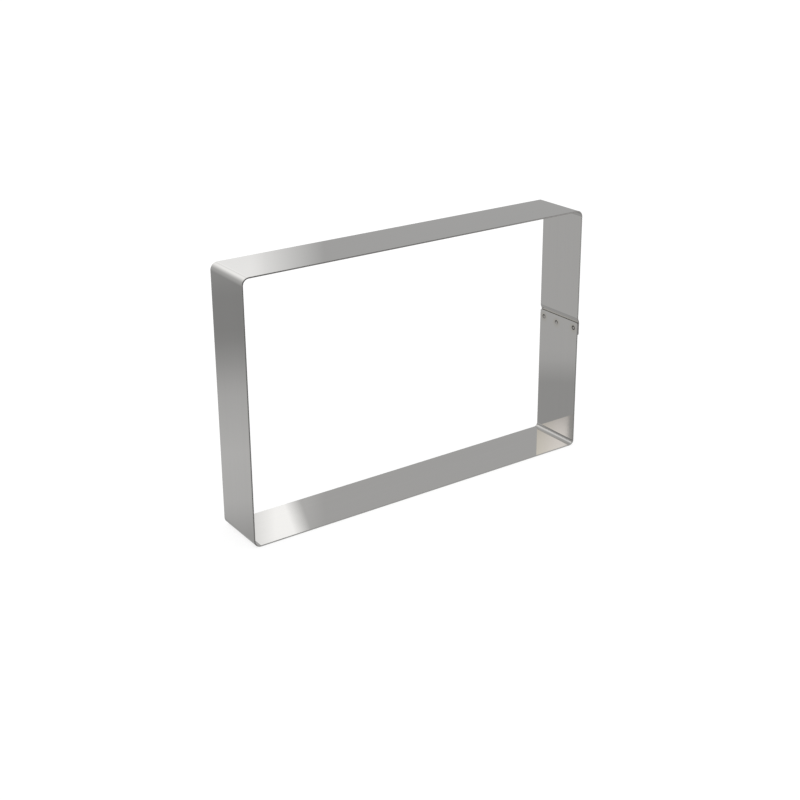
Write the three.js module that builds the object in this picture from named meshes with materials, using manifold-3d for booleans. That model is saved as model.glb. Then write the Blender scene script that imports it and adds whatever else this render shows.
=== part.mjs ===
// Rectangular baking frame: one stainless steel strip bent round four corners. Its two ends lap on a
// short wall, where the outer end is joggled out by one thickness, and three spot welds hold the lap.
// The frame stands on a long wall: X runs along the long walls, Y across the strip from rim to rim,
// and Z up the short walls. The origin is the middle of the lower wall's underside. Millimetres.

import * as THREE from 'three';
import { mergeVertices } from 'three/addons/utils/BufferGeometryUtils.js';
import Module from 'manifold-3d';

// Frame and strip
const LENGTH = 300; // outside, along X
const HEIGHT = 200; // outside, along Z
const STRIP_WIDTH = 45; // rim to rim, along Y
const THICKNESS = 1;
const BEND_RADIUS = 5.5; // outside of three corners
const TIGHT_BEND_RADIUS = 4.25; // outside of the lower right corner, which is bent tighter

// Lap joint on the right-hand short wall
const LAP_TOP = 106.5; // height of the inner layer's end
const LAP_LENGTH = 10.5;
const LAP_GAP = 0.1; // air left between the two layers
const JOGGLE_ANGLE = THREE.MathUtils.degToRad(28); // steepest slope of the step outwards
const END_CORNER_RADIUS = 1.2; // corners of the strip's two ends
const END_CORNER_SPARE = 0.1; // how far a corner's cut runs past the metal

// Spot welds, set by eye along the lap, so they don't quite line up
const WELDS = [
  { name: 'spot_weld_front', y: -18, z: 101.5 },
  { name: 'spot_weld_middle', y: 2.5, z: 100.2 },
  { name: 'spot_weld_back', y: 17.8, z: 101.1 },
];
const WELD_RADIUS = 2;
const WELD_CLEARANCE = 0.05; // between a weld and the strip round it
const WELD_MARK_DEPTH = 0.15; // ring that the electrode pressed into each face
const WELD_MARK_RING = { crest: 0.45, inner: 0.6, outer: 0.85 }; // fractions of the weld's radius

// Facets: a bend or joggle arc has twice as many as its steps
const ARC_STEPS = 4;
const WELD_SIDES = 24;

const RIGHT = LENGTH / 2;
const LAP_BOTTOM = LAP_TOP - LAP_LENGTH;
const LAP_OFFSET = THICKNESS + LAP_GAP;
const QUARTER = Math.PI / 2;

const wasm = await Module();
wasm.setup();

function toSolid(geometry) {
  const bare = geometry.clone();
  bare.deleteAttribute('normal');
  bare.deleteAttribute('uv');
  const merged = mergeVertices(bare);
  return new wasm.Manifold(new wasm.Mesh({
    numProp: 3,
    vertProperties: merged.attributes.position.array,
    triVerts: new Uint32Array(merged.index.array),
  }));
}

function toGeometry(solid) {
  const mesh = solid.getMesh();
  const geometry = new THREE.BufferGeometry();
  geometry.setAttribute('position', new THREE.BufferAttribute(mesh.vertProperties, 3));
  geometry.setIndex(new THREE.BufferAttribute(mesh.triVerts, 1));
  geometry.computeVertexNormals();
  return geometry;
}

// The strip seen edge on: along its outer face from the inner end, round the four corners and out
// over the joggle to the outer end, then back along its inner face.
function stripOutline() {
  const bendX = RIGHT - BEND_RADIUS;
  const bendTop = HEIGHT - BEND_RADIUS;
  const insideRadius = BEND_RADIUS - THICKNESS;
  const tightX = RIGHT - TIGHT_BEND_RADIUS;
  const tightInside = TIGHT_BEND_RADIUS - THICKNESS;
  const outline = new THREE.Shape();

  outline.moveTo(RIGHT, LAP_TOP);
  outline.lineTo(RIGHT, TIGHT_BEND_RADIUS);
  outline.absarc(tightX, TIGHT_BEND_RADIUS, TIGHT_BEND_RADIUS, 0, -QUARTER, true);
  outline.absarc(-bendX, BEND_RADIUS, BEND_RADIUS, 3 * QUARTER, 2 * QUARTER, true);
  outline.absarc(-bendX, bendTop, BEND_RADIUS, 2 * QUARTER, QUARTER, true);
  outline.absarc(bendX, bendTop, BEND_RADIUS, QUARTER, 0, true);

  // The joggle is two equal arcs, the first hollow and the second full when seen from outside
  const middle = RIGHT - THICKNESS / 2;
  const radius = LAP_OFFSET / (2 * (1 - Math.cos(JOGGLE_ANGLE)));
  const smaller = radius - THICKNESS / 2;
  const larger = radius + THICKNESS / 2;
  const upperX = middle + radius;
  const upperZ = LAP_TOP + 2 * radius * Math.sin(JOGGLE_ANGLE);
  const lowerX = middle + LAP_OFFSET - radius;
  outline.absarc(upperX, upperZ, smaller, Math.PI, Math.PI + JOGGLE_ANGLE, false);
  outline.absarc(lowerX, LAP_TOP, larger, JOGGLE_ANGLE, 0, true);
  outline.lineTo(RIGHT + LAP_OFFSET, LAP_BOTTOM);
  outline.lineTo(RIGHT + LAP_GAP, LAP_BOTTOM);
  outline.absarc(lowerX, LAP_TOP, smaller, 0, JOGGLE_ANGLE, false);
  outline.absarc(upperX, upperZ, larger, Math.PI + JOGGLE_ANGLE, Math.PI, true);

  outline.absarc(bendX, bendTop, insideRadius, 0, QUARTER, false);
  outline.absarc(-bendX, bendTop, insideRadius, QUARTER, 2 * QUARTER, false);
  outline.absarc(-bendX, BEND_RADIUS, insideRadius, 2 * QUARTER, 3 * QUARTER, false);
  outline.absarc(tightX, TIGHT_BEND_RADIUS, tightInside, 3 * QUARTER, 4 * QUARTER, false);
  outline.lineTo(RIGHT - THICKNESS, LAP_TOP);
  outline.closePath();
  return outline;
}

// What is cut off one corner of a strip end to round it. The layer lies at layerX, side says which
// rim the corner is at, and up says whether the end points up or down.
function endCorner(layerX, side, endZ, up) {
  const inset = -END_CORNER_RADIUS;
  const profile = new THREE.Shape();
  profile.moveTo(inset, END_CORNER_SPARE);
  profile.lineTo(inset, 0);
  profile.absarc(inset, inset, END_CORNER_RADIUS, QUARTER, 0, true);
  profile.lineTo(END_CORNER_SPARE, inset);
  profile.lineTo(END_CORNER_SPARE, END_CORNER_SPARE);
  profile.closePath();

  const geometry = new THREE.ExtrudeGeometry(profile, {
    depth: LAP_OFFSET,
    bevelEnabled: false,
    curveSegments: ARC_STEPS,
  });
  geometry.translate(0, 0, -LAP_OFFSET / 2);
  geometry.applyMatrix4(new THREE.Matrix4().makeBasis(
    new THREE.Vector3(0, side, 0),
    new THREE.Vector3(0, 0, up),
    new THREE.Vector3(side * up, 0, 0),
  ));
  geometry.translate(layerX, side * STRIP_WIDTH / 2, endZ);
  return toSolid(geometry);
}

// The round seat through both layers that a weld fills
function weldSeat(weld) {
  const geometry = new THREE.CylinderGeometry(WELD_RADIUS, WELD_RADIUS, 4 * LAP_OFFSET, WELD_SIDES);
  geometry.rotateZ(-QUARTER);
  geometry.translate(RIGHT, weld.y, weld.z);
  return toSolid(geometry);
}

function frameStrip() {
  const geometry = new THREE.ExtrudeGeometry(stripOutline(), {
    depth: STRIP_WIDTH,
    bevelEnabled: false,
    curveSegments: ARC_STEPS,
  });
  geometry.rotateX(QUARTER);
  geometry.translate(0, STRIP_WIDTH / 2, 0);

  let strip = toSolid(geometry);
  const innerLayer = RIGHT - THICKNESS / 2;
  for (const side of [-1, 1]) {
    strip = strip.subtract(endCorner(innerLayer, side, LAP_TOP, 1));
    strip = strip.subtract(endCorner(innerLayer + LAP_OFFSET, side, LAP_BOTTOM, -1));
  }
  for (const weld of WELDS) {
    strip = strip.subtract(weldSeat(weld));
  }

  const material = new THREE.MeshStandardMaterial({
    name: 'cold-rolled stainless steel',
    color: 0x9b9a97,
    roughness: 0.25,
    metalness: 1,
  });
  const mesh = new THREE.Mesh(toGeometry(strip), material);
  mesh.name = 'frame_strip';
  return mesh;
}

// A weld runs from face to face through the lap, with a ring pressed into each end
function spotWeld(weld) {
  const radius = WELD_RADIUS - WELD_CLEARANCE;
  const reach = (LAP_OFFSET + THICKNESS) / 2;
  const face = [
    [0, 0],
    [WELD_MARK_RING.crest * radius, 0],
    [WELD_MARK_RING.inner * radius, WELD_MARK_DEPTH],
    [WELD_MARK_RING.outer * radius, WELD_MARK_DEPTH],
    [radius, 0],
  ];
  const lower = face.map(([r, depth]) => new THREE.Vector2(r, depth - reach));
  const upper = face.map(([r, depth]) => new THREE.Vector2(r, reach - depth)).reverse();
  const geometry = new THREE.LatheGeometry([...lower, ...upper], WELD_SIDES);

  const material = new THREE.MeshStandardMaterial({
    name: 'spot-welded stainless steel',
    color: 0x77756f,
    roughness: 0.45,
    metalness: 1,
  });
  const mesh = new THREE.Mesh(geometry, material);
  mesh.name = weld.name;
  mesh.rotation.z = -QUARTER;
  mesh.position.set(RIGHT + LAP_GAP / 2, weld.y, weld.z);
  return mesh;
}

const bakingFrame = new THREE.Group();
bakingFrame.add(frameStrip());
for (const weld of WELDS) {
  bakingFrame.add(spotWeld(weld));
}

export default bakingFrame;
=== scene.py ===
import math

import bpy
from mathutils import Euler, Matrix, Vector


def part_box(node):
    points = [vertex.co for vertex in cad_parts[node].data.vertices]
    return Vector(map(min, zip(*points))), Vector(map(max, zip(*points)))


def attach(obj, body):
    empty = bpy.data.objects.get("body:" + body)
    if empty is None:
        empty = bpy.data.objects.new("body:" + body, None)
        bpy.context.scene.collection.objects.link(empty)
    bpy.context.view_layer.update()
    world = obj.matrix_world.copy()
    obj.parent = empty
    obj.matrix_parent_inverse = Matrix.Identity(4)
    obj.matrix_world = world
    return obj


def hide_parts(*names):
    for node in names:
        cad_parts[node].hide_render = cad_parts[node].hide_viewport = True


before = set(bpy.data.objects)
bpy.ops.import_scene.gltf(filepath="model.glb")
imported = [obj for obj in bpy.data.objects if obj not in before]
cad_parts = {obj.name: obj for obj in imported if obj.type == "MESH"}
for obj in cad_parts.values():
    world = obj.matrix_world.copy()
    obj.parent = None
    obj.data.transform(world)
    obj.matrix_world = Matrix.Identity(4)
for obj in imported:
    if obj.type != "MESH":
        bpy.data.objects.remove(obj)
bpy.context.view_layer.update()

# Frame strip. The real piece is one length of bright cold-rolled stainless steel, 45 mm wide and 1 mm
# thick, slit on both edges and folded round four corners. Its inner end stops halfway up the right-hand
# short wall, and its outer end is pressed out by one thickness so that it laps over the inner end.
MM = 0.001
strip_low, strip_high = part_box("frame_strip")
half_length = -strip_low.x
frame_height = strip_high.z
half_width = strip_high.y
lap_step = strip_high.x - half_length
thickness = 1.0 * MM
bend_radius = 5.5 * MM  # outside of three corners
tight_radius = 4.25 * MM  # outside of the lower right corner, which is bent tighter
lap_top = 106.5 * MM  # where the inner end stops
lap_bottom = 96.0 * MM  # where the outer end stops
joggle_angle = math.radians(28)  # steepest slope of the step outwards
end_corner = 1.2 * MM  # the corners of both ends are rounded
edge_round = 0.2 * MM  # every sheared edge is eased, so that it doesn't cut

weld_names = ("spot_weld_front", "spot_weld_middle", "spot_weld_back")
weld_centres = []
for name in weld_names:
    weld_low, weld_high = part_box(name)
    weld_centres.append((weld_low + weld_high) / 2)
weld_radius = 2.0 * MM
weld_sides = 36  # flats round each weld and round its seat in the strip
weld_patch = 1.5 * weld_radius  # the mesh goes from square to round inside this
dent_radius = 2.0 * weld_radius  # the electrode pushed the sheet in this far out
dent_depth = 0.05 * MM


def lines_round_welds(axis):
    """Places of the grid lines round each weld, along Y for axis 1 and along Z for axis 2."""
    lines = []
    for centre in weld_centres:
        for degrees in range(-45, 46, 360 // weld_sides):
            lines.append(centre[axis] + weld_radius * math.tan(math.radians(degrees)))
        for reach in (weld_patch, dent_radius):
            lines += [centre[axis] - reach, centre[axis] + reach]
    return lines


# The path runs along the middle of the sheet's thickness. Each station on it holds x, z and the way
# that the outer face looks.
stations = []


def lay_straight(x, z, out, pitch):
    """Goes on straight from the last station to x, z."""
    from_x, from_z = stations[-1][:2]
    pieces = max(1, round(math.hypot(x - from_x, z - from_z) / pitch))
    for piece in range(1, pieces + 1):
        share = piece / pieces
        stations.append((from_x + (x - from_x) * share, from_z + (z - from_z) * share, *out))


def lay_arc(x, z, radius, start, stop, pieces, outside=1):
    """Goes round x, z. The outer face looks away from there, or towards it where outside is -1."""
    for piece in range(pieces + 1):
        angle = start + (stop - start) * piece / pieces
        ray_x, ray_z = math.cos(angle), math.sin(angle)
        stations.append((x + radius * ray_x, z + radius * ray_z, outside * ray_x, outside * ray_z))


def lay_lap(x, heights):
    """Goes down one layer of the lap, through every given height."""
    for z in heights:
        stations.append((x, z, 1, 0))


middle = half_length - thickness / 2
wall_pitch = 10 * MM
bend_pieces = 12
joggle_pieces = 8
bend_middle = bend_radius - thickness / 2
bend_x = half_length - bend_radius
bend_top = frame_height - bend_radius
tight_middle = tight_radius - thickness / 2
tight_x = half_length - tight_radius
quarter = math.pi / 2
joggle_radius = lap_step / (2 * (1 - math.cos(joggle_angle)))
joggle_top = lap_top + 2 * joggle_radius * math.sin(joggle_angle)
hollow_x = middle + joggle_radius  # centre of the joggle's upper arc, which is hollow from outside
full_x = middle + lap_step - joggle_radius  # centre of its lower arc, which is full

eased_degrees = (0, 30, 60, 90)  # steps round an end's eased edge
corner_degrees = (40, 52, 65, 78, 90)  # steps round its corners, past the eased edge
end_steps = [edge_round * (1 - math.cos(math.radians(degrees))) for degrees in eased_degrees]
end_steps += [end_corner * (1 - math.cos(math.radians(degrees))) for degrees in corner_degrees]
lap_heights = [z for z in lines_round_welds(2) if lap_bottom + end_corner < z < lap_top - end_corner]
lap_heights += [lap_top - gap for gap in end_steps] + [lap_bottom + gap for gap in end_steps]
lap_heights = sorted(set(lap_heights), reverse=True)

lay_lap(middle, lap_heights)
lay_straight(middle, tight_radius, (1, 0), wall_pitch)
lay_arc(tight_x, tight_radius, tight_middle, 0, -quarter, bend_pieces)
lay_straight(-bend_x, thickness / 2, (0, -1), wall_pitch)
lay_arc(-bend_x, bend_radius, bend_middle, -quarter, -2 * quarter, bend_pieces)
lay_straight(-middle, bend_top, (-1, 0), wall_pitch)
lay_arc(-bend_x, bend_top, bend_middle, 2 * quarter, quarter, bend_pieces)
lay_straight(bend_x, frame_height - thickness / 2, (0, 1), wall_pitch)
lay_arc(bend_x, bend_top, bend_middle, quarter, 0, bend_pieces)
lay_straight(middle, joggle_top, (1, 0), wall_pitch)
lay_arc(hollow_x, joggle_top, joggle_radius, math.pi, math.pi + joggle_angle, joggle_pieces, outside=-1)
lay_arc(full_x, lap_top, joggle_radius, joggle_angle, 0, joggle_pieces)
lay_lap(middle + lap_step, lap_heights)

# Arcs and straights share their end points, so one of each pair goes.
same_point = 0.001 * MM
kept = [stations[0]]
for station in stations[1:]:
    if math.dist(station[:2], kept[-1][:2]) > same_point:
        kept.append(station)
stations = kept

along = [0.0]
for before, after in zip(stations, stations[1:]):
    along.append(along[-1] + math.dist(before[:2], after[:2]))

# Columns of points run along the strip: some round the welds, and some evenly spaced.
column_limit = half_width - edge_round
least_column = 0.2 * MM
even_columns = 6  # on each side of the middle one
columns = [y for y in lines_round_welds(1) if abs(y) < column_limit]
for number in range(-even_columns, even_columns + 1):
    y = column_limit * number / even_columns
    if min(abs(y - other) for other in columns) > least_column:
        columns.append(y)
columns.sort()


def pull_in(radius, gap):
    """How far a rounded corner draws an edge in, at this gap from the strip's end."""
    return radius - math.sqrt(radius**2 - max(radius - gap, 0) ** 2)


rim_angles = [math.radians(a) for a in (22.5, 45, 67.5, 90)]


def section(half, through):
    """The strip cut across: y, depth off the middle, lean towards +Y and face of each point round it.

    It goes along the outer face, round one rim, back along the inner face and round the other rim.
    """
    outer = [(y * (half - edge_round) / column_limit, through, 0, 1) for y in columns]
    rim = []
    for angle in rim_angles:
        y = half - edge_round * (1 - math.sin(angle))
        depth = through - edge_round * (1 - math.cos(angle))
        rim.append((y, depth, math.sin(angle), math.cos(angle)))
    rim += [(y, -depth, lean, -face) for y, depth, lean, face in reversed(rim)]
    inner = [(y, -depth, lean, -1) for y, depth, lean, face in reversed(outer)]
    return outer + rim + inner + [(-y, depth, -lean, face) for y, depth, lean, face in reversed(rim)]


def round_weld(y, z):
    """Moves a point of the lap's grid so that the lines round a weld close in to its circle."""
    for centre in weld_centres:
        right, up = y - centre.y, z - centre.z
        square = max(abs(right), abs(up))
        if 0 < square < weld_patch:
            share = min(1, (weld_patch - square) / (weld_patch - weld_radius))
            scale = 1 + share * (square / math.hypot(right, up) - 1)
            return centre.y + right * scale, centre.z + up * scale
    return y, z


def dent(y, z):
    """Depth of the hollow that the electrodes left round the welds."""
    for centre in weld_centres:
        gap = math.hypot(y - centre.y, z - centre.z)
        if gap < dent_radius:
            return dent_depth * (0.5 + 0.5 * math.cos(math.pi * gap / dent_radius))
    return 0.0


count = len(columns)
inner_start = count + 2 * len(rim_angles)
full_section = section(half_width, thickness / 2)
loop_size = len(full_section)
around = [0.0]
for before, after in zip(full_section, full_section[1:]):
    around.append(around[-1] + math.dist(before[:2], after[:2]))

straight_up = 0.999  # an outer face that looks along X at least this squarely is on a short wall
nudge = 0.01 * MM
points, normals, places = [], [], []
for (x, z, out_x, out_z), distance in zip(stations, along):
    gap = min(distance, along[-1] - distance)
    half = half_width - pull_in(end_corner, gap)
    through = thickness / 2 - pull_in(edge_round, gap)
    in_lap = out_x > straight_up and lap_bottom - edge_round < z < lap_top + edge_round
    for place, (y, depth, lean, face) in enumerate(section(half, through)):
        on_face = place < count or inner_start <= place < inner_start + count
        new_y, new_z, tilt_y, tilt_z = y, z, lean, 0.0
        if in_lap and on_face:
            new_y, new_z = round_weld(y, z)
            if face * (x - half_length) > 0:  # the two faces of the lap that show
                hollow = dent(new_y, new_z)
                depth -= face * hollow
                tilt_y += (dent(new_y + nudge, new_z) - hollow) / nudge
                tilt_z += (dent(new_y, new_z + nudge) - hollow) / nudge
        points.append((x + out_x * depth, new_y, new_z + out_z * depth))
        normals.append(Vector((out_x * face, tilt_y, out_z * face + tilt_z)).normalized())
        places.append((distance - (new_z - z), around[place] + face * (new_y - y)))


def is_hole(row, column):
    """True where a weld fills this cell of the grid."""
    if not (0 <= row < len(stations) - 1 and 0 <= column < count - 1):
        return False
    z, out_x = stations[row][1:3]
    if out_x < straight_up:
        return False
    cell_y = (columns[column] + columns[column + 1]) / 2
    cell_z = (z + stations[row + 1][1]) / 2
    for centre in weld_centres:
        if max(abs(cell_y - centre.y), abs(cell_z - centre.z)) < weld_radius:
            return True
    return False


def at(row, place):
    """The number of a point, from its station and its place round the section."""
    return row * loop_size + place % loop_size


def inside(place):
    """The place on the inner face that lies under this place on the outer face."""
    return inner_start + count - 1 - place


# The walls and the rims are smooth. The two ends, and the seats that the welds fill, are cut square.
wall_faces, rim_faces, square_faces = [], [], []
for row in range(len(stations) - 1):
    for place in range(loop_size):
        if place < count - 1:
            column = place
        elif inner_start <= place < inner_start + count - 1:
            column = inner_start + count - 2 - place
        else:
            column = None
        quad = (at(row, place), at(row + 1, place), at(row + 1, place + 1), at(row, place + 1))
        if column is None:
            rim_faces.append(quad)
        elif not is_hole(row, column):
            wall_faces.append(quad)
    for column in range(count - 1):
        if not is_hole(row, column):
            continue
        corners = ((row, column), (row + 1, column), (row + 1, column + 1), (row, column + 1))
        beyond = ((row, column - 1), (row + 1, column), (row, column + 1), (row - 1, column))
        for number, cell in enumerate(beyond):
            if not is_hole(*cell):
                (row_a, a), (row_b, b) = corners[number], corners[(number + 1) % 4]
                on_outer = (at(row_a, a), at(row_b, b))
                on_inner = (at(row_b, inside(b)), at(row_a, inside(a)))
                square_faces.append(on_outer + on_inner)
last = len(stations) - 1
square_faces.append(tuple(at(0, place) for place in range(loop_size)))
square_faces.append(tuple(at(last, place) for place in reversed(range(loop_size))))

faces = wall_faces + rim_faces + square_faces
used = sorted({corner for face in faces for corner in face})
renumbered = {old: new for new, old in enumerate(used)}
strip_mesh = bpy.data.meshes.new("frame_strip_sheet")
strip_mesh.from_pydata(
    [points[old] for old in used],
    [],
    [[renumbered[old] for old in face] for face in faces],
)
strip_mesh.shade_smooth()
uv_layer = strip_mesh.uv_layers.new(name="strip")

# The first material is the sheet. The second, its sheared edge, is on the rims and the outer end.
eased_rows = len(eased_degrees) - 1
corner_normals = []
for polygon in strip_mesh.polygons:
    is_square = polygon.index >= len(wall_faces) + len(rim_faces)
    is_rim = not is_square and polygon.index >= len(wall_faces)
    first_row = min(used[corner] for corner in polygon.vertices) // loop_size
    polygon.material_index = 1 if is_rim or first_row >= last - eased_rows else 0
    for corner in polygon.loop_indices:
        old = used[strip_mesh.loops[corner].vertex_index]
        uv_layer.data[corner].uv = places[old]
        corner_normals.append(polygon.normal if is_square else normals[old])
strip_mesh.normals_split_custom_set(corner_normals)
strip = bpy.data.objects.new("frame_strip_sheet", strip_mesh)
bpy.context.scene.collection.objects.link(strip)


def linear(hex_colour):
    """A sRGB hex colour such as #B0AEAB as linear values."""
    shades = [int(hex_colour[start:start + 2], 16) / 255 for start in (1, 3, 5)]
    shades = [s / 12.92 if s <= 0.04045 else ((s + 0.055) / 1.055) ** 2.4 for s in shades]
    return (*shades, 1.0)


def add(tree, kind, inputs=None, stops=None, **settings):
    """Adds one node. An input is a value or another node's output, and stops are a ramp's colours."""
    made = tree.nodes.new(kind)
    for name, value in settings.items():
        setattr(made, name, value)
    for name, value in (inputs or {}).items():
        if isinstance(value, bpy.types.NodeSocket):
            tree.links.new(value, made.inputs[name])
        else:
            made.inputs[name].default_value = value
    if stops:
        ramp = made.color_ramp.elements
        ramp.remove(ramp[1])
        ramp[0].position, ramp[0].color = stops[0]
        for position, colour in stops[1:]:
            ramp.new(position).color = colour
    return made


# Bright-annealed stainless: a grey, faintly warm and nearly sharp mirror. A fine grain along the strip
# blurs it a little across that way, and the sheet is barely wavy. A trace of straw-coloured heat tint
# rings the welds.
sheet = bpy.data.materials.new("bright_annealed_stainless")
sheet.use_nodes = True
tree = sheet.node_tree
tree.nodes.clear()
grain_width = 0.7 * MM  # the real grain is near 0.05 mm, drawn coarser so that it shows
grain_length = 120 * MM
grain_depth = 0.0005 * MM
band_width = 5 * MM  # faint bands that the rolls left
band_length = 400 * MM
cloud_size = 60 * MM  # the sheet is clouded and wavy at this scale
cloud_blur = 0.006  # the most roughness that a cloud adds
wave_depth = 0.02 * MM
tint_reach = 5.5 * MM  # the heat tint fades out this far from a weld's middle
unrolled = add(tree, "ShaderNodeUVMap", uv_map="strip")
grain_place = add(tree, "ShaderNodeMapping", {
    "Vector": unrolled.outputs["UV"],
    "Scale": (1 / grain_length, 1 / grain_width, 1),
})
grain = add(tree, "ShaderNodeTexNoise", {"Vector": grain_place.outputs[0], "Scale": 1.0, "Detail": 3.0})
band_place = add(tree, "ShaderNodeMapping", {
    "Vector": unrolled.outputs["UV"],
    "Scale": (1 / band_length, 1 / band_width, 1),
})
bands = add(tree, "ShaderNodeTexNoise", {"Vector": band_place.outputs[0], "Scale": 1.0, "Detail": 2.0})
clouds = add(tree, "ShaderNodeTexNoise", {
    "Vector": unrolled.outputs["UV"],
    "Scale": 1 / cloud_size,
    "Detail": 2.0,
})
streaks = add(tree, "ShaderNodeMix", {
    "Factor": 0.4,
    "A": grain.outputs["Fac"],
    "B": bands.outputs["Fac"],
})
bare = add(tree, "ShaderNodeMix", {
    "Factor": streaks.outputs["Result"],
    "A": linear("#B8B7B5"),
    "B": linear("#BEBDBB"),
}, data_type="RGBA")
solid = add(tree, "ShaderNodeTexCoord")
nearest = 1.0  # metres, further off than any weld
for centre in weld_centres:
    apart = add(tree, "ShaderNodeVectorMath", {
        0: solid.outputs["Object"],
        1: centre,
    }, operation="DISTANCE")
    nearest = add(tree, "ShaderNodeMath", {
        0: nearest,
        1: apart.outputs["Value"],
    }, operation="MINIMUM").outputs[0]
heat = add(tree, "ShaderNodeMapRange", {
    "Value": nearest,
    "From Min": weld_radius,
    "From Max": tint_reach,
    "To Min": 0.2,
    "To Max": 0.0,
}, interpolation_type="SMOOTHSTEP")
tinted = add(tree, "ShaderNodeMix", {
    "Factor": heat.outputs[0],
    "A": bare.outputs["Result"],
    "B": linear("#A69C80"),
}, data_type="RGBA")
grain_blur = add(tree, "ShaderNodeMapRange", {
    "Value": grain.outputs["Fac"],
    "From Min": 0.3,
    "From Max": 0.7,
    "To Min": 0.014,
    "To Max": 0.022,
})
blur = add(tree, "ShaderNodeMath", {
    0: clouds.outputs["Fac"],
    1: cloud_blur,
    2: grain_blur.outputs[0],
}, operation="MULTIPLY_ADD")
waves = add(tree, "ShaderNodeBump", {
    "Height": clouds.outputs["Fac"],
    "Distance": wave_depth,
    "Strength": 1.0,
})
relief = add(tree, "ShaderNodeBump", {
    "Height": grain.outputs["Fac"],
    "Distance": grain_depth,
    "Strength": 1.0,
    "Normal": waves.outputs[0],
})
grain_way = add(tree, "ShaderNodeTangent", direction_type="UV_MAP", uv_map="strip")
steel = add(tree, "ShaderNodeBsdfPrincipled", {
    "Base Color": tinted.outputs["Result"],
    "Metallic": 1.0,
    "Roughness": blur.outputs[0],
    "Anisotropic": 0.6,
    "Anisotropic Rotation": 0.25,
    "Normal": relief.outputs[0],
    "Tangent": grain_way.outputs[0],
})
add(tree, "ShaderNodeOutputMaterial", {"Surface": steel.outputs[0]})
strip_mesh.materials.append(sheet)

# Sheared stainless: the cut edge is duller and darker than the sheet, with fine lines through its
# thickness. Along the lower wall it is painted brighter, a painted reflection of the pale floor.
cut = bpy.data.materials.new("sheared_stainless_edge")
cut.use_nodes = True
tree = cut.node_tree
tree.nodes.clear()
shear_line = 0.8 * MM  # the real lines are near 0.1 mm, drawn coarser so that they show
shear_length = 3.0 * thickness
shear_depth = 0.005 * MM
floor_reflection_full_height = 1.0 * MM  # the painted floor reflection is full up to here
floor_reflection_end_height = 3.0 * MM  # the painted floor reflection is gone above here
unrolled = add(tree, "ShaderNodeUVMap", uv_map="strip")
shear_place = add(tree, "ShaderNodeMapping", {
    "Vector": unrolled.outputs["UV"],
    "Scale": (1 / shear_line, 1 / shear_length, 1),
})
lines = add(tree, "ShaderNodeTexNoise", {"Vector": shear_place.outputs[0], "Scale": 1.0, "Detail": 2.0})
dark = add(tree, "ShaderNodeMix", {
    "Factor": lines.outputs["Fac"],
    "A": linear("#807E7D"),
    "B": linear("#949290"),
}, data_type="RGBA")
# A lit copy of the edge colour: the painted reflection of the floor.
bright = add(tree, "ShaderNodeMix", {
    "Factor": lines.outputs["Fac"],
    "A": linear("#B4B3B1"),
    "B": linear("#C6C5C3"),
}, data_type="RGBA")
solid = add(tree, "ShaderNodeTexCoord")
parts = add(tree, "ShaderNodeSeparateXYZ", {"Vector": solid.outputs["Object"]})
# Painted reflection of the floor: the edge is painted brighter within a few millimetres of the floor.
floor_reflection_share = add(tree, "ShaderNodeMapRange", {
    "Value": parts.outputs["Z"],
    "From Min": floor_reflection_full_height,
    "From Max": floor_reflection_end_height,
    "To Min": 1.0,
    "To Max": 0.0,
})
shade = add(tree, "ShaderNodeMix", {
    "Factor": floor_reflection_share.outputs[0],
    "A": dark.outputs["Result"],
    "B": bright.outputs["Result"],
}, data_type="RGBA")
dull = add(tree, "ShaderNodeMapRange", {"Value": lines.outputs["Fac"], "To Min": 0.08, "To Max": 0.14})
ridges = add(tree, "ShaderNodeBump", {"Height": lines.outputs["Fac"], "Distance": shear_depth})
steel = add(tree, "ShaderNodeBsdfPrincipled", {
    "Base Color": shade.outputs["Result"],
    "Metallic": 1.0,
    "Roughness": dull.outputs[0],
    "Normal": ridges.outputs[0],
})
add(tree, "ShaderNodeOutputMaterial", {"Surface": steel.outputs[0]})
strip_mesh.materials.append(cut)

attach(strip, "root")
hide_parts("frame_strip")

# Spot welds. Each is a nugget of the strip's own steel, melted through both layers between two copper
# electrodes, which left a pressed and scorched ring round a small button on either face. The front weld
# was struck squarely, the middle one askew and the back one lightly.
weld_rings = 12
weld_clearance = 0.005 * MM
ring_start = 0.4  # the ring lies between this share of the radius and the whole
ring_depth = 0.13 * MM
lip_depth = dent(weld_centres[0].y + weld_radius, weld_centres[0].z)
plain = 0.3  # scorching runs from 0, a painted glint of near-white steel, through this, bare steel, to 1, black
strikes = (  # how hard the ring was pressed, how much more on one side, and which way that side lies
    (0.95, 0.15, 45),
    (0.45, 0.55, 95),
    (0.6, 0.4, 50),
)

# Scorched stainless: black oxide in the ring, bare steel on the button, and a painted glint of
# near-white steel where the middle weld was pressed least.
nugget = bpy.data.materials.new("spot_welded_stainless")
nugget.use_nodes = True
tree = nugget.node_tree
tree.nodes.clear()
mottle_size = 0.5 * MM
mottle_spread = 0.1  # how far the mottle moves the scorching up or down, in all
pit_depth = 0.01 * MM
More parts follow.
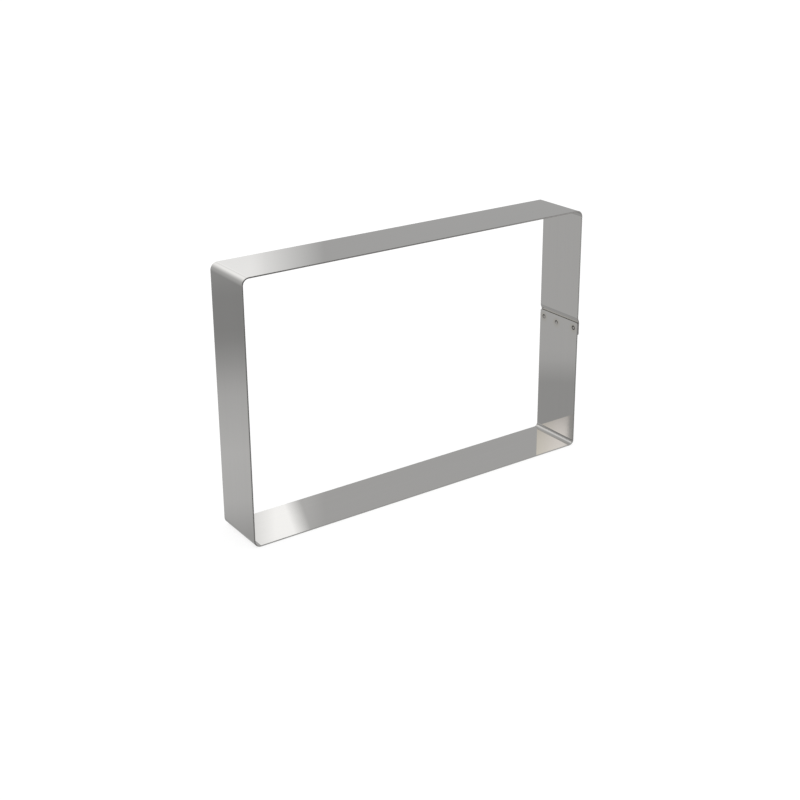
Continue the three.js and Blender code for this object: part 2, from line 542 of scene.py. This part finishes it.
# The first colour is a painted glint. The others are bare steel and oxide.
scorch_and_glint_colours = ((0.0, "#F2F1EE"), (plain, "#B5B3B0"), (0.6, "#6E6A64"), (0.9, "#1F1D1B"))
solid = add(tree, "ShaderNodeTexCoord")
mottle = add(tree, "ShaderNodeTexNoise", {
    "Vector": solid.outputs["Object"],
    "Scale": 1 / mottle_size,
    "Detail": 3.0,
})
scorch_and_glint_attribute = add(tree, "ShaderNodeAttribute", attribute_name="scorch_and_glint")
patchy = add(tree, "ShaderNodeMath", {
    0: mottle.outputs["Fac"],
    1: mottle_spread,
    2: scorch_and_glint_attribute.outputs["Fac"],
}, operation="MULTIPLY_ADD")
tint = add(tree, "ShaderNodeValToRGB", {
    "Fac": patchy.outputs[0],
}, [(share + mottle_spread / 2, linear(colour)) for share, colour in scorch_and_glint_colours])
dull = add(tree, "ShaderNodeMapRange", {"Value": mottle.outputs["Fac"], "To Min": 0.2, "To Max": 0.45})
pits = add(tree, "ShaderNodeBump", {"Height": mottle.outputs["Fac"], "Distance": pit_depth})
steel = add(tree, "ShaderNodeBsdfPrincipled", {
    "Base Color": tint.outputs[0],
    "Metallic": 1.0,
    "Roughness": dull.outputs[0],
    "Normal": pits.outputs[0],
})
add(tree, "ShaderNodeOutputMaterial", {"Surface": steel.outputs[0]})

for name, centre, (even, askew, way) in zip(weld_names, weld_centres, strikes):
    reach = (lap_step + thickness) / 2
    weld_points, scorch_and_glint = [], []
    for face, rings in ((1, range(1, weld_rings + 1)), (-1, range(weld_rings, 0, -1))):
        for ring in rings:
            share = ring / weld_rings
            into_ring = max(share - ring_start, 0) / (1 - ring_start)
            for side in range(weld_sides):
                angle = 2 * math.pi * (side + 0.5) / weld_sides
                pressed = even + askew * math.cos(angle - math.radians(way))
                pressed *= math.sin(math.pi * into_ring) ** 2
                level = reach - max(lip_depth + ring_depth * pressed, 0)
                radius = share * (weld_radius - weld_clearance)
                weld_points.append((face * level, radius * math.cos(angle), radius * math.sin(angle)))
                # Below plain, which happens only on the middle weld's lightly pressed side, this paints
                # a glint.
                scorch_and_glint.append(plain + (1 - plain) * pressed)
    weld_points += [(reach - lip_depth, 0, 0), (lip_depth - reach, 0, 0)]
    scorch_and_glint += [plain, plain]
    outer_middle, inner_middle = len(weld_points) - 2, len(weld_points) - 1
    last_ring = (2 * weld_rings - 1) * weld_sides
    weld_faces = []
    for side in range(weld_sides):
        after = (side + 1) % weld_sides
        weld_faces.append((outer_middle, side, after))
        weld_faces.append((inner_middle, last_ring + after, last_ring + side))
        for here in range(0, last_ring, weld_sides):
            there = here + weld_sides
            weld_faces.append((here + side, there + side, there + after, here + after))
    weld_mesh = bpy.data.meshes.new(name + "_nugget")
    weld_mesh.from_pydata(weld_points, [], weld_faces)
    weld_mesh.attributes.new("scorch_and_glint", "FLOAT", "POINT").data.foreach_set("value", scorch_and_glint)
    weld_mesh.shade_smooth()
    weld_mesh.set_sharp_from_angle(angle=math.radians(50))
    weld_mesh.materials.append(nugget)
    weld = bpy.data.objects.new(name + "_nugget", weld_mesh)
    weld.location = (half_length + (lap_step - thickness) / 2, centre.y, centre.z)
    bpy.context.scene.collection.objects.link(weld)
    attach(weld, "root")
    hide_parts(name)

# Floor. A table of white opal acrylic, lit from below so that shadows on it stay weak, and so wide that
# its edge never shows. The steel doesn't mirror it: that part of the mirror belongs to the studio.
floor_reach = 12.0  # metres
floor_mesh = bpy.data.meshes.new("studio_floor")
floor_mesh.from_pydata(
    [(-floor_reach, -floor_reach, 0), (floor_reach, -floor_reach, 0),
     (floor_reach, floor_reach, 0), (-floor_reach, floor_reach, 0)],
    [],
    [(0, 1, 2, 3)],
)
# Opal acrylic: milky white and matt, with the faintest of mottles.
opal = bpy.data.materials.new("opal_acrylic")
opal.use_nodes = True
tree = opal.node_tree
tree.nodes.clear()
mottle_size = 3 * MM
solid = add(tree, "ShaderNodeTexCoord")
mottle = add(tree, "ShaderNodeTexNoise", {"Vector": solid.outputs["Object"], "Scale": 1 / mottle_size})
white = add(tree, "ShaderNodeMix", {
    "Factor": mottle.outputs["Fac"],
    "A": linear("#9C9C9C"),
    "B": linear("#A2A2A2"),
}, data_type="RGBA")
matt = add(tree, "ShaderNodeBsdfPrincipled", {
    "Base Color": white.outputs["Result"],
    "Roughness": 0.9,
    "Specular IOR Level": 0.1,
    "Emission Color": linear("#FFFFFF"),
    "Emission Strength": 0.78,
})
add(tree, "ShaderNodeOutputMaterial", {"Surface": matt.outputs[0]})
floor_mesh.materials.append(opal)
floor = bpy.data.objects.new("studio_floor", floor_mesh)
floor.location.z = -0.1 * MM  # just clear of the lower wall
bpy.context.scene.collection.objects.link(floor)
floor.visible_glossy = False

# Studio light. It all comes from the surroundings, so the floor is lit evenly: a softbox overhead, a
# wide light panel behind the frame that fades to the left, a small warm lamp further left, and pale
# walls. A dark card to the right of the camera shows in the near rims.
world = bpy.data.worlds.new("studio")
bpy.context.scene.world = world
world.use_nodes = True
tree = world.node_tree
tree.nodes.clear()


def turn(degrees):
    """A heading, in degrees clockwise from +Y, as the share of a turn that the heading node gives."""
    return (90 - degrees) / 360 + 0.5


def height(degrees):
    """Degrees above the horizon as the share that the height node gives."""
    return (math.sin(math.radians(degrees)) + 1) / 2


def levels(*pairs):
    """A ramp's stops, from pairs of degrees above the horizon and the ramp's value there."""
    return [(height(degrees), (level, level, level, 1)) for degrees, level in pairs]


way = add(tree, "ShaderNodeTexCoord")
heading = add(tree, "ShaderNodeTexGradient", {
    "Vector": way.outputs["Generated"],
}, gradient_type="RADIAL")
parts = add(tree, "ShaderNodeSeparateXYZ", {"Vector": way.outputs["Generated"]})
rise = add(tree, "ShaderNodeMath", {0: parts.outputs["Z"], 1: 0.5, 2: 0.5}, operation="MULTIPLY_ADD")
softbox = ((55, 0.5), (70, 1.3), (90, 1.5))  # degrees above the horizon, and brightness there
low_wall = ((-90, 0.6), (-30, 0.75), (-20, 0.8), (-15, 1.25), (-8, 1.25), (0, 0.7), (14, 0.57))
walls = add(tree, "ShaderNodeValToRGB", {"Fac": rise.outputs[0]}, levels(
    *low_wall, (26, 0.645), (29, 0.66), (40, 0.45), *softbox,
))
card = add(tree, "ShaderNodeValToRGB", {"Fac": rise.outputs[0]}, levels(
    (-90, 0.6), (-31, 0.65), (-29, 0.5), (-22, 0.5), (-20.5, 0.35), (5, 0.35), (14, 0.57), (26, 0.625),
    (40, 0.45), *softbox,
))

# How far the card hides the walls, by heading
card_headings = ((160, 0), (156, 1), (152, 1), (150.5, 0.5), (141, 0.5), (139.2, 0))
before_card = add(tree, "ShaderNodeValToRGB", {
    "Fac": heading.outputs["Fac"],
}, [(turn(degrees), (share, share, share, 1)) for degrees, share in card_headings])
level = add(tree, "ShaderNodeMix", {
    "Factor": before_card.outputs[0],
    "A": walls.outputs[0],
    "B": card.outputs[0],
}, data_type="RGBA").outputs["Result"]

# The panel's right-hand edge is soft at its foot, and leans out and is sharper higher up.
edge_start = add(tree, "ShaderNodeValToRGB", {"Fac": rise.outputs[0]}, levels(
    (18, turn(31.3)), (25, turn(29.01)), (30, turn(30.91)),
))
edge_full = add(tree, "ShaderNodeValToRGB", {"Fac": rise.outputs[0]}, levels(
    (18, turn(27.9)), (25, turn(28.16)), (30, turn(30.06)),
))
panel_foot = (
    (-90, 0.5), (-28.5, 0.55), (-27.1, 0.74), (-25, 0.78), (-22.3, 0.68), (-20.9, 0.5), (-19.9, 0.395),
)
panel_rise = ((-8, 0.4), (0, 0.6), (14, 1.2), (17, 1.33))
bands_from_right = (  # where each band starts and is full, and its brightness by height
    # A faint glow on the wall beside the panel
    (turn(31), turn(30.1), levels(*low_wall, (20, 0.61), (24, 0.76), (33, 0.76), (40, 0.45), *softbox)),
    # The panel's bright edge
    (edge_start.outputs[0], edge_full.outputs[0], levels(
        *panel_foot, *panel_rise, (22, 1.72), (33, 1.72), (38, 0.5), *softbox,
    )),
    # The panel
    (turn(28.6), turn(27.4), levels(
        *panel_foot, *panel_rise, (22, 1.5), (25, 1.5), (27, 1.3), (33, 1.3), (38, 0.6), *softbox,
    )),
    # Its left half, which is dim low down
    (turn(20), turn(5), levels(
        *panel_foot, (-18, 0.395), (-17.3, 0.45), (-8, 0.56), (3, 0.66), (8, 0.68), (13, 0.76),
        (17, 0.87), (21, 1.0), (25, 1.18), (28, 1.35), (30, 1.52), (32.5, 1.62), (35, 1.3), (38, 1.2),
        (44, 1.15), (48, 0.65), *softbox,
    )),
    # The darker wall to the left of it
    (turn(-33), turn(-37), levels(
        (-90, 0.5), (-22, 0.515), (-20.9, 0.69), (-4, 0.69), (2, 0.46), (20, 0.46), (28, 0.55),
        (33, 0.75), (38, 1.15), (44, 1.1), (48, 0.6), *softbox,
    )),
)
for start, full, stops in bands_from_right:
    share = add(tree, "ShaderNodeMapRange", {
        "Value": heading.outputs["Fac"],
        "From Min": start,
        "From Max": full,
    })
    shade = add(tree, "ShaderNodeValToRGB", {"Fac": rise.outputs[0]}, stops)
    level = add(tree, "ShaderNodeMix", {
        "Factor": share.outputs[0],
        "A": level,
        "B": shade.outputs[0],
    }, data_type="RGBA").outputs["Result"]
past_left = add(tree, "ShaderNodeMapRange", {
    "Value": heading.outputs["Fac"],
    "From Min": turn(-60),
    "From Max": turn(-75),
})
level = add(tree, "ShaderNodeMix", {
    "Factor": past_left.outputs[0],
    "A": level,
    "B": walls.outputs[0],
}, data_type="RGBA").outputs["Result"]

# The lamp is a small softbox, brighter towards its top and tinted across, beside a grey reflector.
lamp_tints = ((-42.5, (1.06, 1.03, 1.01, 1)), (-42.1, (1.12, 1.07, 1.05, 1)),
              (-41.6, (1.05, 0.97, 0.91, 1)), (-41.2, (0.82, 0.79, 0.7, 1)))
lamp_tint = add(tree, "ShaderNodeValToRGB", {
    "Fac": heading.outputs["Fac"],
}, [(turn(degrees), tint) for degrees, tint in reversed(lamp_tints)])
lamp_level = add(tree, "ShaderNodeValToRGB", {
    "Fac": rise.outputs[0],
}, levels((22.5, 1.0), (23.5, 1.42), (24.2, 1.98), (25.2, 2.3)))
lamp = add(tree, "ShaderNodeMix", {
    "Factor": 1.0,
    "A": lamp_level.outputs[0],
    "B": lamp_tint.outputs[0],
}, data_type="RGBA", blend_type="MULTIPLY").outputs["Result"]
lamp_edge = -42.62  # heading of its left side
reflector = (0.9, 0.9, 0.9, 1)
for left, right, bottom, top, colour in (
    (-46, lamp_edge, 22, 27, reflector),
    (lamp_edge, -35, 22.5, 26.5, lamp),
):
    across = add(tree, "ShaderNodeMath", {
        0: heading.outputs["Fac"],
        1: (turn(left) + turn(right)) / 2,
        2: (turn(left) - turn(right)) / 2,
    }, operation="COMPARE")
    upright = add(tree, "ShaderNodeMath", {
        0: rise.outputs[0],
        1: (height(top) + height(bottom)) / 2,
        2: (height(top) - height(bottom)) / 2,
    }, operation="COMPARE")
    on_it = add(tree, "ShaderNodeMath", {
        0: across.outputs[0],
        1: upright.outputs[0],
    }, operation="MULTIPLY")
    level = add(tree, "ShaderNodeMix", {
        "Factor": on_it.outputs[0],
        "A": level,
        "B": colour,
    }, data_type="RGBA").outputs["Result"]

# Where the camera looks past the floor, the studio is plain white.
ray = add(tree, "ShaderNodeLightPath")
seen = add(tree, "ShaderNodeMix", {
    "Factor": ray.outputs["Is Camera Ray"],
    "A": level,
    "B": (1, 1, 1, 1),
}, data_type="RGBA")
glow = add(tree, "ShaderNodeBackground", {"Color": seen.outputs["Result"], "Strength": 1.0})
add(tree, "ShaderNodeOutputWorld", {"Surface": glow.outputs[0]})

# Camera, at the photograph's viewing angle: from the front left, a little above the frame. The lens is
# shifted down slightly, which keeps the upright walls near to upright in the picture.
camera_data = bpy.data.cameras.new("camera")
camera_data.sensor_width = 36.0
camera_data.lens = 59.22
camera_data.shift_y = -0.10
camera_data.clip_end = 100.0
camera_heading = 34.71  # degrees clockwise from +Y
camera_dip = 19.42  # degrees below the horizon
camera_roll = -0.41
camera = bpy.data.objects.new("camera", camera_data)
camera.location = (-0.53325, -0.75808, 0.46065)
pan = Euler((0, 0, math.radians(-camera_heading))).to_matrix()
tip = Euler((math.radians(90 - camera_dip), 0, 0)).to_matrix()
roll = Euler((0, 0, math.radians(camera_roll))).to_matrix()
camera.rotation_euler = (pan @ tip @ roll).to_euler()
bpy.context.scene.collection.objects.link(camera)
bpy.context.scene.camera = camera
bpy.context.scene.view_settings.view_transform = "Standard"
